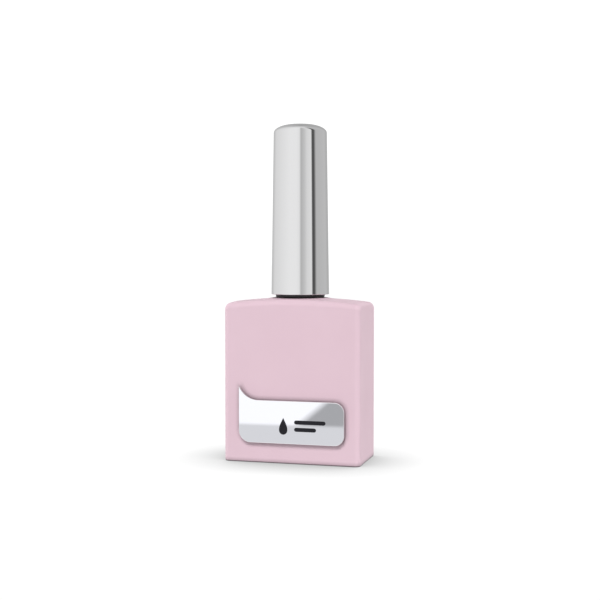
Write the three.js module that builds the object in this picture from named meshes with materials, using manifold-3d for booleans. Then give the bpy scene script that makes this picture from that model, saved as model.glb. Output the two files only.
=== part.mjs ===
// Nail polish bottle: a coated rectangular glass bottle with a screw cap that carries the brush.
// Millimetres, +Z up. The origin is the centre of the base and the emblem faces -Y.
// A right-handed thread joins the cap to the neck, so the cap rises as it turns anticlockwise.

import * as THREE from 'three';
import { mergeVertices } from 'three/addons/utils/BufferGeometryUtils.js';
import Module from 'manifold-3d';

const wasm = await Module();
wasm.setup();

// ---- driving dimensions ----

// bottle body
const BODY_WIDTH = 35;
const BODY_DEPTH = 18;
const CORNER_RADIUS = 1.5;
const BASE_EDGE = 0.4;
const SHOULDER_EDGE = 1.4;
const CROWN_TOP = 40.92;
const CROWN_ACROSS = 0.245;
const CROWN_DEEP = 0.54;
const CROWN_REACH = 10;
const COLLAR_RISE = 0.28;
const COLLAR_INNER = 6.0;
const COLLAR_OUTER = 9.4;
const SIDE_WALL = 2.3;
const FLOOR_TOP = 4.6;
const FLOOR_EDGE = 1.6;
const ROOF_WALL = 2.6;

// neck, lip and thread
const NECK_RADIUS = 4.8;
const NECK_FILLET = 0.7;
const BORE_RADIUS = 3.4;
const LIP_TOP = 52.4;
const LIP_EDGE = 0.3;
const THREAD_PITCH = 2.1;
const THREAD_START = 45.0;
const NECK_THREAD_TURNS = 1.5;
const NECK_THREAD_CREST = 5.4;

// label recess under the base
const RECESS_WIDTH = 25;
const RECESS_DEPTH = 12;
const RECESS_RADIUS = 1.5;
const RECESS_HEIGHT = 0.45;
const LABEL_MARGIN = 0.5;
const LABEL_THICKNESS = 0.2;

// emblem plate on the front
const PLATE_LEFT = -13.2;
const PLATE_RIGHT = 13.85;
const PLATE_BOTTOM = 5.1;
const PLATE_TOP = 15.75;
const PLATE_THICKNESS = 0.65;
const PLATE_BEVEL = 0.08;
const PLATE_CORNER = 2.5;
const TAIL_CORNER = 3.0;
const TAIL_SWEEP_RADIUS = 5.3;
const TAIL_SWEEP_ANGLE = 1.27;
const ADHESIVE_THICKNESS = 0.2;
const ADHESIVE_INSET = 0.5;
const FILM_GAP = 0.05;

// silver outer cap
const CAP_BOTTOM = 41.85;
const CAP_TOP = 84.7;
const CAP_BOTTOM_RADIUS = 7.3;
const CAP_TOP_RADIUS = 6.72;
const CAP_WALL = 0.75;
const CAP_EDGE_REACH = 4.2;
const CAP_EDGE_DROP = 1.75;
const CAP_DOME = 0.3;

// black inner cap
const SKIRT_BOTTOM = 41.2;
const SKIRT_RADIUS = 6.2;
const SKIRT_BORE = 5.65;
const CAP_THREAD_TURNS = 1.25;
const CAP_THREAD_CREST = 5.0;
const ROOF_UNDERSIDE = 53.6;
const ROOF_TOP = 55.0;
const POST_RADIUS = 3.4;
const POST_TOP = 79.5;
const POST_BORE = 2.4;
const POST_WEB_BOTTOM = 63.4;
const POST_WEB_TOP = 64.8;
const SOCKET_RADIUS = 2.1;
const RIB_COUNT = 6;
const RIB_REACH = 5.75;
const RIB_THICKNESS = 0.9;

// gasket, brush stem, staple and bristles
const GASKET_RADIUS = 4.85;
const GASKET_BORE = 1.8;
const GASKET_THICKNESS = 1.0;
const GASKET_LIFT = 0.1;
const STEM_RADIUS = 1.55;
const STEM_HEAD_RADIUS = 1.95;
const STEM_HEAD_BOTTOM = 54.0;
const STEM_TOP = 63.0;
const STEM_BOTTOM = 22.0;
const STEM_TIP_RADIUS = 1.75;
const STEM_TIP_HEIGHT = 3.0;
const TUFT_HOLE_RADIUS = 1.15;
const TUFT_HOLE_TOP = 27.2;
const TUFT_ROOT_RADIUS = 0.98;
const TUFT_ROOT_TOP = 27.0;
const TUFT_BELLY_RADIUS = 1.42;
const TUFT_TIP = 9.2;
const TUFT_TIP_RADIUS = 0.55;
const STAPLE_WIDTH = 2.05;
const STAPLE_THICKNESS = 0.3;
const STAPLE_HEIGHT = 1.3;
const STAPLE_BOTTOM = 24.6;
const STAPLE_GAP = 0.15;

// fineness of the facets
const SIDE_STEPS = 2;
const CORNER_STEPS = 5;
const FRONT_STEPS = 3;
const QUARTER_STEPS = SIDE_STEPS + CORNER_STEPS + FRONT_STEPS;
const ROUND_SEGMENTS = 4 * QUARTER_STEPS;
const SMALL_SEGMENTS = 24;
const THREAD_STEPS_PER_TURN = 28;
const THREAD_LEAD_IN = 0.14;
const THREAD_ROOT_HALF = 0.52;
const THREAD_CREST_HALF = 0.24;
const THREAD_EMBED = 0.2;
const ARC_STEPS = 5;
const WELD_DISTANCE = 1e-4;

// ---- helpers ----

/** Steps from 0 to 1, both ends included. */
function fractions(steps) {
  return Array.from({ length: steps + 1 }, (_, i) => i / steps);
}

/** One quarter of a rounded rectangle, from its +X end to its +Y end, as [x, y] points. */
function quarterOutline(halfWidth, halfDepth, radius) {
  const points = [];
  for (let i = 0; i < SIDE_STEPS; i += 1) {
    points.push([halfWidth, ((halfDepth - radius) * i) / SIDE_STEPS]);
  }
  for (let i = 0; i <= CORNER_STEPS; i += 1) {
    const angle = ((Math.PI / 2) * i) / CORNER_STEPS;
    const x = halfWidth - radius + radius * Math.cos(angle);
    points.push([x, halfDepth - radius + radius * Math.sin(angle)]);
  }
  for (let i = 1; i <= FRONT_STEPS; i += 1) {
    points.push([(halfWidth - radius) * (1 - i / FRONT_STEPS), halfDepth]);
  }
  return points;
}

/** A whole rounded rectangle, anticlockwise, with as many points as a circle from roundOutline. */
function rectOutline(halfWidth, halfDepth, radius) {
  const quarter = quarterOutline(halfWidth, halfDepth, radius);
  const points = [];
  for (let i = 0; i < QUARTER_STEPS; i += 1) points.push(quarter[i]);
  for (let i = QUARTER_STEPS; i > 0; i -= 1) points.push([-quarter[i][0], quarter[i][1]]);
  for (let i = 0; i < QUARTER_STEPS; i += 1) points.push([-quarter[i][0], -quarter[i][1]]);
  for (let i = QUARTER_STEPS; i > 0; i -= 1) points.push([quarter[i][0], -quarter[i][1]]);
  return points;
}

function roundOutline(radius) {
  return fractions(ROUND_SEGMENTS).slice(0, -1).map((turn) => [
    radius * Math.cos(2 * Math.PI * turn),
    radius * Math.sin(2 * Math.PI * turn),
  ]);
}

/** A ring of [x, y, z] points at a height that is a number or a function of x and y. */
function ringAt(outline, height) {
  return outline.map(([x, y]) => [x, y, typeof height === 'function' ? height(x, y) : height]);
}

function blendOutlines(from, to, share) {
  return from.map(([x, y], i) => [
    x + (to[i][0] - x) * share,
    y + (to[i][1] - y) * share,
  ]);
}

function geometryFrom(positions, indices) {
  const geometry = new THREE.BufferGeometry();
  geometry.setAttribute('position', new THREE.Float32BufferAttribute(positions, 3));
  geometry.setIndex(indices);
  geometry.computeVertexNormals();
  return geometry;
}

/** A closed skin through rings of equal length, with a centre point at each end. */
function loft(rings) {
  const count = rings[0].length;
  const last = rings.length - 1;
  const positions = rings.flat(2);
  const firstCentre = rings.length * count;
  const lastCentre = firstCentre + 1;
  positions.push(0, 0, rings[0][0][2], 0, 0, rings[last][0][2]);
  const indices = [];
  for (let i = 0; i < count; i += 1) {
    const next = (i + 1) % count;
    indices.push(firstCentre, next, i);
    for (let ring = 0; ring < last; ring += 1) {
      const low = ring * count;
      const high = low + count;
      indices.push(low + i, low + next, high + next);
      indices.push(low + i, high + next, high + i);
    }
    indices.push(lastCentre, last * count + i, last * count + next);
  }
  return geometryFrom(positions, indices);
}

/** A solid of revolution about Z from [radius, height] points. */
function lathe(profile, segments = ROUND_SEGMENTS) {
  const points = profile.map(([radius, height]) => new THREE.Vector2(radius, height));
  return new THREE.LatheGeometry(points, segments).rotateX(Math.PI / 2);
}

/** Points of an elliptical arc between two directions, as [radius, height]. */
function arc(centreRadius, centreHeight, reach, rise, from, to) {
  return fractions(ARC_STEPS).map((share) => {
    const angle = from + (to - from) * share;
    return [centreRadius + reach * Math.cos(angle), centreHeight + rise * Math.sin(angle)];
  });
}

/** Extrudes an outline drawn in X and Z towards -Y. */
function frontPlate(shape, thickness, bevel) {
  const options = {
    depth: thickness - 2 * bevel,
    bevelEnabled: bevel > 0,
    bevelThickness: bevel,
    bevelSize: bevel,
    bevelOffset: -bevel,
    bevelSegments: 1,
    curveSegments: 8,
  };
  return new THREE.ExtrudeGeometry(shape, options).translate(0, 0, bevel).rotateX(Math.PI / 2);
}

/** A thread ridge that winds up a wall from startHeight, with its ends run out. */
function threadRidge(wallRadius, crestRadius, startHeight, turns) {
  const outward = Math.sign(crestRadius - wallRadius);
  const steps = Math.round(turns * THREAD_STEPS_PER_TURN);
  const positions = [];
  const indices = [];
  const rootRadius = wallRadius - outward * THREAD_EMBED;
  for (let i = 0; i <= steps; i += 1) {
    const turned = (turns * i) / steps;
    const angle = 2 * Math.PI * turned;
    const height = startHeight + THREAD_PITCH * turned;
    const runOut = Math.min(1, 0.04 + turned / THREAD_LEAD_IN, 0.04 + (turns - turned) / THREAD_LEAD_IN);
    const crest = wallRadius + (crestRadius - wallRadius) * runOut;
    const section = [
      [rootRadius, -THREAD_ROOT_HALF],
      [crest, -THREAD_CREST_HALF],
      [crest, THREAD_CREST_HALF],
      [rootRadius, THREAD_ROOT_HALF],
    ];
    for (const [radius, rise] of section) {
      positions.push(radius * Math.cos(angle), radius * Math.sin(angle), height + rise);
    }
  }
  const face = (a, b, c) => indices.push(...(outward > 0 ? [a, b, c] : [a, c, b]));
  for (let i = 0; i < steps; i += 1) {
    for (let side = 0; side < 4; side += 1) {
      const a = 4 * i + side;
      const b = 4 * i + ((side + 1) % 4);
      face(a, a + 4, b + 4);
      face(a, b + 4, b);
    }
  }
  const end = 4 * steps;
  face(0, 1, 2);
  face(0, 2, 3);
  face(end, end + 2, end + 1);
  face(end, end + 3, end + 2);
  return geometryFrom(positions, indices);
}

/** A closed geometry as a solid that can be joined and cut. */
function solid(geometry) {
  const bare = geometry.clone();
  bare.deleteAttribute('normal');
  bare.deleteAttribute('uv');
  const welded = mergeVertices(bare, WELD_DISTANCE);
  const triangles = [];
  const index = welded.getIndex().array;
  for (let i = 0; i < index.length; i += 3) {
    const [a, b, c] = index.slice(i, i + 3);
    if (a !== b && b !== c && c !== a) triangles.push(a, b, c);
  }
  return new wasm.Manifold(new wasm.Mesh({
    numProp: 3,
    vertProperties: new Float32Array(welded.getAttribute('position').array),
    triVerts: new Uint32Array(triangles),
  }));
}

function geometryOf(manifold) {
  const mesh = manifold.getMesh();
  return geometryFrom(mesh.vertProperties, Array.from(mesh.triVerts));
}

function box(width, depth, height, x, y, z) {
  return new THREE.BoxGeometry(width, depth, height).translate(x, y, z);
}

// ---- materials ----

function finish(color, roughness, metalness = 0) {
  return new THREE.MeshStandardMaterial({ color, roughness, metalness });
}

const pinkCoating = finish(0xe3c8d3, 0.45);
const silverFoil = finish(0xd9d9da, 0.12, 1);
const plateMetal = finish(0xe4e4e6, 0.08, 1);
const blackPlastic = finish(0x171717, 0.4);
const clearFilm = finish(0xd8d4c8, 0.5);
const gasketFoam = finish(0xeeeeec, 0.8);
const labelPaper = finish(0xf4f2f2, 0.7);
const bristleNylon = finish(0x26211f, 0.6);
const stapleMetal = finish(0xc8b27a, 0.3, 1);

// ---- glass bottle ----

/** Height of the gentle dome of the shoulder above a point. */
function dome(x, y) {
  const across = CROWN_ACROSS * Math.abs(x / CROWN_REACH) ** 2.5;
  const deep = CROWN_DEEP * (y / CROWN_REACH) ** 2;
  return CROWN_TOP - across - deep;
}

/** Height of the shoulder's outside: the dome, with a low collar round the neck. */
function crown(x, y) {
  const away = THREE.MathUtils.smoothstep(Math.hypot(x, y), COLLAR_INNER, COLLAR_OUTER);
  return dome(x, y) + COLLAR_RISE * (1 - away);
}

/** The bottle's outline, drawn in by a distance from the wall. */
function bodyOutline(inset) {
  const radius = Math.max(CORNER_RADIUS - inset, 0.1);
  return rectOutline(BODY_WIDTH / 2 - inset, BODY_DEPTH / 2 - inset, radius);
}

/** The outside of the bottle from the recess under the base to the outside of the lip. */
function outerRings() {
  const recess = rectOutline(RECESS_WIDTH / 2, RECESS_DEPTH / 2, RECESS_RADIUS);
  const rings = [ringAt(recess, RECESS_HEIGHT), ringAt(recess, 0)];
  for (const share of fractions(2)) {
    const angle = (Math.PI / 2) * share;
    const inset = BASE_EDGE * (1 - Math.sin(angle));
    rings.push(ringAt(bodyOutline(inset), BASE_EDGE * (1 - Math.cos(angle))));
  }
  for (const share of fractions(ARC_STEPS)) {
    const angle = (Math.PI / 2) * share;
    const inset = SHOULDER_EDGE * (1 - Math.cos(angle));
    const drop = SHOULDER_EDGE * (1 - Math.sin(angle));
    rings.push(ringAt(bodyOutline(inset), (x, y) => crown(x, y) - drop));
  }
  const shoulder = bodyOutline(SHOULDER_EDGE);
  const neckFoot = roundOutline(NECK_RADIUS + NECK_FILLET);
  for (const share of [0.3, 0.55, 0.7, 0.82, 0.92, 1]) {
    rings.push(ringAt(blendOutlines(shoulder, neckFoot, share), crown));
  }
  const collarTop = CROWN_TOP + COLLAR_RISE;
  const filletMiddle = roundOutline(NECK_RADIUS + NECK_FILLET * 0.3);
  rings.push(ringAt(filletMiddle, collarTop + NECK_FILLET * 0.3));
  rings.push(ringAt(roundOutline(NECK_RADIUS), collarTop + NECK_FILLET));
  rings.push(ringAt(roundOutline(NECK_RADIUS), LIP_TOP - LIP_EDGE));
  rings.push(ringAt(roundOutline(NECK_RADIUS - LIP_EDGE), LIP_TOP));
  return rings;
}

/** The inside of the bottle from the lip down the bore and round the hollow to its floor. */
function innerRings() {
  const halfWidth = BODY_WIDTH / 2 - SIDE_WALL;
  const halfDepth = BODY_DEPTH / 2 - SIDE_WALL;
  const hollow = (inset) => rectOutline(
    halfWidth - inset,
    halfDepth - inset,
    Math.max(FLOOR_EDGE - inset, 0.1),
  );
  const roof = (x, y) => dome(x, y) - ROOF_WALL;
  const rings = [
    ringAt(roundOutline(BORE_RADIUS + LIP_EDGE), LIP_TOP),
    ringAt(roundOutline(BORE_RADIUS), LIP_TOP - LIP_EDGE),
    ringAt(roundOutline(BORE_RADIUS), CROWN_TOP - ROOF_WALL + LIP_EDGE),
  ];
  const boreFoot = roundOutline(BORE_RADIUS + LIP_EDGE);
  for (const share of [0, 0.5, 1]) {
    rings.push(ringAt(blendOutlines(boreFoot, hollow(FLOOR_EDGE), share), roof));
  }
  for (const share of [0.5, 1]) {
    const angle = (Math.PI / 2) * share;
    const inset = FLOOR_EDGE * (1 - Math.sin(angle));
    const drop = FLOOR_EDGE * (1 - Math.cos(angle));
    rings.push(ringAt(hollow(inset), (x, y) => roof(x, y) - drop));
  }
  for (const share of fractions(2)) {
    const angle = (Math.PI / 2) * share;
    const inset = FLOOR_EDGE * (1 - Math.cos(angle));
    rings.push(ringAt(hollow(inset), FLOOR_TOP + FLOOR_EDGE * (1 - Math.sin(angle))));
  }
  return rings;
}

function glassBottle() {
  const vessel = solid(loft([...outerRings(), ...innerRings()]));
  const ridge = threadRidge(NECK_RADIUS, NECK_THREAD_CREST, THREAD_START, NECK_THREAD_TURNS);
  return geometryOf(vessel.add(solid(ridge)));
}

// ---- emblem and label ----

/** The plate's outline in X and Z: a rounded bar whose upper left corner sweeps up to a point. */
function plateShape(inset) {
  const left = PLATE_LEFT + inset;
  const right = PLATE_RIGHT - inset;
  const bottom = PLATE_BOTTOM + inset;
  const top = PLATE_TOP - inset;
  const corner = PLATE_CORNER - inset;
  const tailCorner = TAIL_CORNER - inset;
  const sweep = TAIL_SWEEP_RADIUS;
  const quarter = Math.PI / 2;
  const sweepX = left + sweep * Math.sin(TAIL_SWEEP_ANGLE);
  const shape = new THREE.Shape();
  shape.moveTo(left + tailCorner, bottom);
  shape.lineTo(right - corner, bottom);
  shape.absarc(right - corner, bottom + corner, corner, -quarter, 0, false);
  shape.lineTo(right, top - corner);
  shape.absarc(right - corner, top - corner, corner, 0, quarter, false);
  shape.lineTo(sweepX, top);
  shape.absarc(sweepX, top + sweep, sweep, -quarter, -quarter - TAIL_SWEEP_ANGLE, true);
  shape.lineTo(left, bottom + tailCorner);
  shape.absarc(left + tailCorner, bottom + tailCorner, tailCorner, 2 * quarter, 3 * quarter, false);
  return shape;
}

function baseLabel() {
  const width = RECESS_WIDTH / 2 - LABEL_MARGIN;
  const depth = RECESS_DEPTH / 2 - LABEL_MARGIN;
  const outline = rectOutline(width, depth, RECESS_RADIUS - LABEL_MARGIN);
  const top = RECESS_HEIGHT - FILM_GAP;
  return loft([ringAt(outline, top - LABEL_THICKNESS), ringAt(outline, top)]);
}

// ---- caps ----

function outerCap() {
  const edgeRadius = CAP_TOP_RADIUS - CAP_EDGE_REACH;
  const edgeHeight = CAP_TOP - CAP_DOME - CAP_EDGE_DROP;
  const innerReach = CAP_EDGE_REACH - CAP_WALL;
  const innerDrop = CAP_EDGE_DROP - CAP_WALL;
  return lathe([
    [0, edgeHeight + innerDrop],
    ...arc(edgeRadius, edgeHeight, innerReach, innerDrop, Math.PI / 2, 0),
    [CAP_BOTTOM_RADIUS - CAP_WALL, CAP_BOTTOM],
    [CAP_BOTTOM_RADIUS, CAP_BOTTOM],
    ...arc(edgeRadius, edgeHeight, CAP_EDGE_REACH, CAP_EDGE_DROP, 0, Math.PI / 2),
    [0, CAP_TOP],
  ]);
}

/** The threaded cup, the post with the brush socket, and the ribs that hold the outer cap. */
function innerCap() {
  let cap = solid(lathe([
    [0, POST_WEB_BOTTOM],
    [SOCKET_RADIUS, POST_WEB_BOTTOM],
    [SOCKET_RADIUS, ROOF_UNDERSIDE],
    [SKIRT_BORE, ROOF_UNDERSIDE],
    [SKIRT_BORE, SKIRT_BOTTOM + 0.3],
    [SKIRT_BORE + 0.15, SKIRT_BOTTOM],
    [SKIRT_RADIUS - 0.15, SKIRT_BOTTOM],
    [SKIRT_RADIUS, SKIRT_BOTTOM + 0.2],
    [SKIRT_RADIUS, ROOF_TOP - 0.4],
    [SKIRT_RADIUS - 0.4, ROOF_TOP],
    [POST_RADIUS, ROOF_TOP],
    [POST_RADIUS, POST_TOP],
    [POST_BORE, POST_TOP],
    [POST_BORE, POST_WEB_TOP],
    [0, POST_WEB_TOP],
  ]));
  const ribHeight = POST_TOP - ROOF_TOP;
  const ribLength = RIB_REACH - POST_RADIUS + 0.3;
  for (let i = 0; i < RIB_COUNT; i += 1) {
    const middle = RIB_REACH - ribLength / 2;
    const rib = box(ribLength, RIB_THICKNESS, ribHeight, middle, 0, ROOF_TOP + ribHeight / 2 - 0.5);
    cap = cap.add(solid(rib.rotateZ((2 * Math.PI * i) / RIB_COUNT)));
  }
  const start = THREAD_START - THREAD_PITCH / 2;
  const ridge = threadRidge(SKIRT_BORE, CAP_THREAD_CREST, start, CAP_THREAD_TURNS);
  return geometryOf(cap.add(solid(ridge)));
}

function gasket() {
  const bottom = LIP_TOP + GASKET_LIFT;
  const top = bottom + GASKET_THICKNESS - GASKET_LIFT;
  return lathe([
    [GASKET_BORE, bottom],
    [GASKET_RADIUS, bottom],
    [GASKET_RADIUS, top],
    [GASKET_BORE, top],
    [GASKET_BORE, bottom],
  ], SMALL_SEGMENTS);
}

// ---- brush ----

function brushStem() {
  return lathe([
    [0, TUFT_HOLE_TOP],
    [TUFT_HOLE_RADIUS, TUFT_HOLE_TOP],
    [TUFT_HOLE_RADIUS, STEM_BOTTOM],
    [STEM_TIP_RADIUS - 0.2, STEM_BOTTOM],
    [STEM_TIP_RADIUS, STEM_BOTTOM + 0.3],
    [STEM_TIP_RADIUS, STEM_BOTTOM + STEM_TIP_HEIGHT],
    [STEM_RADIUS, STEM_BOTTOM + STEM_TIP_HEIGHT + 2],
    [STEM_RADIUS, STEM_HEAD_BOTTOM - 0.4],
    [STEM_HEAD_RADIUS, STEM_HEAD_BOTTOM],
    [STEM_HEAD_RADIUS, STEM_TOP - 0.5],
    [STEM_HEAD_RADIUS - 0.5, STEM_TOP],
    [0, STEM_TOP],
  ], SMALL_SEGMENTS);
}

/** The folded bristles, with a slot through the fold where the staple holds them. */
function bristleTuft() {
  const tuft = solid(lathe([
    [0, TUFT_TIP],
    [TUFT_TIP_RADIUS, TUFT_TIP + 0.2],
    [TUFT_BELLY_RADIUS * 0.82, TUFT_TIP + 2.4],
    [TUFT_BELLY_RADIUS, (TUFT_TIP + STEM_BOTTOM) / 2],
    [TUFT_ROOT_RADIUS + 0.12, STEM_BOTTOM - 0.6],
    [TUFT_ROOT_RADIUS, STEM_BOTTOM],
    [TUFT_ROOT_RADIUS, TUFT_ROOT_TOP - 0.5],
    [TUFT_ROOT_RADIUS - 0.4, TUFT_ROOT_TOP],
    [0, TUFT_ROOT_TOP],
  ], SMALL_SEGMENTS));
  const slot = box(
    2 * STEM_RADIUS,
    STAPLE_THICKNESS + 2 * STAPLE_GAP,
    STAPLE_HEIGHT + 2 * STAPLE_GAP,
    0,
    0,
    STAPLE_BOTTOM + STAPLE_HEIGHT / 2,
  );
  return geometryOf(tuft.subtract(solid(slot)));
}

function staple() {
  const middle = STAPLE_BOTTOM + STAPLE_HEIGHT / 2;
  return box(STAPLE_WIDTH, STAPLE_THICKNESS, STAPLE_HEIGHT, 0, 0, middle);
}

// ---- the assembly ----

const bottle = new THREE.Group();

function piece(name, geometry, material) {
  const mesh = new THREE.Mesh(geometry, material);
  mesh.name = name;
  bottle.add(mesh);
  return mesh;
}

piece('glass_bottle', glassBottle(), pinkCoating);
piece('base_label', baseLabel(), labelPaper);

const adhesive = frontPlate(plateShape(ADHESIVE_INSET), ADHESIVE_THICKNESS, 0);
piece('emblem_adhesive', adhesive, clearFilm).position.y = -BODY_DEPTH / 2 - FILM_GAP;

const plate = frontPlate(plateShape(0), PLATE_THICKNESS, PLATE_BEVEL);
const plateBack = BODY_DEPTH / 2 + ADHESIVE_THICKNESS + 2 * FILM_GAP;
piece('emblem_plate', plate, plateMetal).position.y = -plateBack;

piece('outer_cap', outerCap(), silverFoil);
piece('inner_cap', innerCap(), blackPlastic);
piece('seal_gasket', gasket(), gasketFoam);
piece('brush_stem', brushStem(), blackPlastic);
piece('bristle_tuft', bristleTuft(), bristleNylon);
piece('tuft_staple', staple(), stapleMetal);

export default bottle;
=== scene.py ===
"""Nail polish bottle: the looks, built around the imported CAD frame.

Lengths in this script are millimetres unless a name says otherwise. new_mesh turns them into metres.
The bottle stands on Z = 0 with its front, and the emblem plate, facing -Y.
"""

import math
import random

import bmesh
import bpy
from mathutils import Matrix, Vector


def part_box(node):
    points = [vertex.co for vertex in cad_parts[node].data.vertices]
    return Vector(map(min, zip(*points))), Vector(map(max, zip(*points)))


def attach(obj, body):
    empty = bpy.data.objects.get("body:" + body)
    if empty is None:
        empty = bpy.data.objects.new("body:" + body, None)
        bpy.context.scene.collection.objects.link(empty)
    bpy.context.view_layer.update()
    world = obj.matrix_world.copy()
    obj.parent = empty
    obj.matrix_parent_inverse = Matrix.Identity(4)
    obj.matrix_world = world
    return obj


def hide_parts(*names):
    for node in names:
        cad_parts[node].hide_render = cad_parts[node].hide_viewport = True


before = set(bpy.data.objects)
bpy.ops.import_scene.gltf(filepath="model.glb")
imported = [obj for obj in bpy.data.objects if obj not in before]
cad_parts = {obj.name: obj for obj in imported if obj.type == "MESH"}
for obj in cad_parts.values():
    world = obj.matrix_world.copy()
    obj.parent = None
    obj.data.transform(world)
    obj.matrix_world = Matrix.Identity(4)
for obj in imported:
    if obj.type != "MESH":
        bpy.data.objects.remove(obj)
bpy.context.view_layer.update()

MM = 0.001
FULL_TURN = 2 * math.pi
QUARTER_TURN = math.pi / 2


# ---- sizes from the frame ----

def box_mm(node):
    low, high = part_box(node)
    return low / MM, high / MM


body_low, body_high = box_mm("glass_bottle")
cap_low, cap_high = box_mm("outer_cap")
skirt_low, skirt_high = box_mm("inner_cap")
plate_low, plate_high = box_mm("emblem_plate")
film_low, film_high = box_mm("emblem_adhesive")
label_low, label_high = box_mm("base_label")
gasket_low, gasket_high = box_mm("seal_gasket")
stem_low, stem_high = box_mm("brush_stem")
tuft_low, tuft_high = box_mm("bristle_tuft")
staple_low, staple_high = box_mm("tuft_staple")

BODY_WIDTH = body_high.x - body_low.x
BODY_DEPTH = body_high.y - body_low.y
LIP_TOP = body_high.z

# bottle shape
CORNER_RADIUS = 1.5
BASE_EDGE = 0.4
SHOULDER_EDGE = 1.4
CROWN_TOP = 40.92
CROWN_ACROSS = 0.245
CROWN_DEEP = 0.54
CROWN_REACH = 10
COLLAR_RISE = 0.28
COLLAR_INNER = 6.0
COLLAR_OUTER = 9.4
SIDE_WALL = 2.3
FLOOR_TOP = 4.6
FLOOR_EDGE = 1.6
ROOF_WALL = 2.6
NECK_RADIUS = 4.8
NECK_FILLET = 0.7
BORE_RADIUS = 3.4
LIP_EDGE = 0.4
RECESS_HALF_WIDTH = 12.5
RECESS_HALF_DEPTH = 6.0
RECESS_RADIUS = 1.5
RECESS_HEIGHT = 0.45
RECESS_EDGE = 0.12

# threads
THREAD_PITCH = 2.1
THREAD_START = 45.0
NECK_THREAD_TURNS = 1.5
NECK_THREAD_CREST = 5.4
CAP_THREAD_TURNS = 1.25
CAP_THREAD_CREST = 5.0
THREAD_STEPS_PER_TURN = 72
THREAD_RUN_OUT = 0.14
THREAD_ROOT_HALF = 0.52
THREAD_CREST_HALF = 0.24
THREAD_EMBED = 0.2

# caps
CAP_WALL = 0.75
CAP_TOP_RADIUS = 6.72
CAP_EDGE_REACH = 4.2
CAP_EDGE_DROP = 1.75
CAP_DOME = 0.3
CAP_LIP_EDGE = 0.12
SKIRT_BORE = 5.65
ROOF_UNDERSIDE = 53.6
ROOF_TOP = 55.0
POST_RADIUS = 3.4
POST_BORE = 2.4
POST_WEB_BOTTOM = 63.4
POST_WEB_TOP = 64.8
SOCKET_RADIUS = 2.1
RIB_COUNT = 6
RIB_REACH = 5.75
RIB_THICKNESS = 0.9

# emblem plate
PLATE_CORNER = 2.5
TAIL_CORNER = 3.0
TAIL_SWEEP = 5.3
TAIL_ANGLE = 1.27
PLATE_EDGE = 0.16
FILM_INSET = 0.5
INK_THICKNESS = 0.02

# brush
STEM_RADIUS = 1.55
STEM_HEAD_BOTTOM = 54.0
STEM_TIP_RADIUS = 1.75
STEM_TIP_HEIGHT = 3.0
TUFT_HOLE_RADIUS = 1.15
TUFT_HOLE_TOP = 27.2
TUFT_ROOT_RADIUS = 0.9
TUFT_TIP_RADIUS = 0.75
TUFT_TIP_ROUNDING = 2.0
TUFT_FULLNESS = 0.92
TUFT_BELLY_SPREAD = 0.82
BRISTLE_COUNT = 190
BRISTLE_RADIUS = 0.062
BRISTLE_SIDES = 6
BRISTLE_STEPS = 12
GASKET_BORE = 1.8

# fineness
SIDE_STEPS = 8
CORNER_STEPS = 14
FRONT_STEPS = 18
QUARTER_STEPS = SIDE_STEPS + CORNER_STEPS + FRONT_STEPS
RING_POINTS = 4 * QUARTER_STEPS
ARC_STEPS = 10
FILLET_STEPS = 5
LATHE_SEGMENTS = 160

# camera and studio, azimuths in degrees from the front towards +X
CAMERA_AZIMUTH = 15.7
CAMERA_DISTANCE = 278.7
CAMERA_HEIGHT = 50.4
CAMERA_TARGET_SIDE = -0.08
CAMERA_TARGET_HEIGHT = 40.36
CAMERA_LENS = 65.8
CAMERA_SENSOR = 36.0


# ---- mesh helpers ----

def fractions(steps):
    return [i / steps for i in range(steps + 1)]


def new_mesh(name, vertices, faces, smooth_angle=35):
    """A mesh object from millimetre coordinates, smooth except along its sharp edges."""
    mesh = bpy.data.meshes.new(name)
    mesh.from_pydata([Vector(v) * MM for v in vertices], [], faces)
    mesh.validate()
    obj = bpy.data.objects.new(name, mesh)
    bpy.context.scene.collection.objects.link(obj)
    shade(obj, smooth_angle)
    return obj


def shade(obj, smooth_angle=35):
    obj.data.shade_smooth()
    obj.data.set_sharp_from_angle(angle=math.radians(smooth_angle))


def weight_normals(obj):
    """Keeps the flat faces flat beside their rounded edges."""
    modifier = obj.modifiers.new("weighted_normals", "WEIGHTED_NORMAL")
    modifier.keep_sharp = True
    modifier.weight = 80


def boolean(obj, other, operation):
    """Joins other to obj, or cuts it out, and removes other."""
    modifier = obj.modifiers.new("boolean", "BOOLEAN")
    modifier.operation = operation
    modifier.solver = "EXACT"
    modifier.object = other
    bpy.context.view_layer.update()
    result = bpy.data.meshes.new_from_object(obj.evaluated_get(bpy.context.evaluated_depsgraph_get()))
    obj.modifiers.remove(modifier)
    old = obj.data
    result.name = old.name
    obj.data = result
    bpy.data.meshes.remove(old)
    bpy.data.objects.remove(other)
    shade(obj)
    return obj


def stitch(rings, closed=False):
    """Quads between neighbouring rings of equal length."""
    count = len(rings[0])
    faces = []
    last = len(rings) if closed else len(rings) - 1
    for ring in range(last):
        low = ring * count
        high = ((ring + 1) % len(rings)) * count
        for i in range(count):
            j = (i + 1) % count
            faces.append((low + i, low + j, high + j, high + i))
    return faces


def loft(name, rings):
    """A closed skin through rings, with a fan of triangles at each end."""
    count = len(rings[0])
    vertices = [point for ring in rings for point in ring]
    faces = stitch(rings)
    first, last = len(vertices), len(vertices) + 1
    vertices += [centre_of(rings[0]), centre_of(rings[-1])]
    end = (len(rings) - 1) * count
    for i in range(count):
        j = (i + 1) % count
        faces.append((first, j, i))
        faces.append((last, end + i, end + j))
    return new_mesh(name, vertices, faces)


def centre_of(ring):
    return tuple(sum(axis) / len(ring) for axis in zip(*ring))


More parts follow.
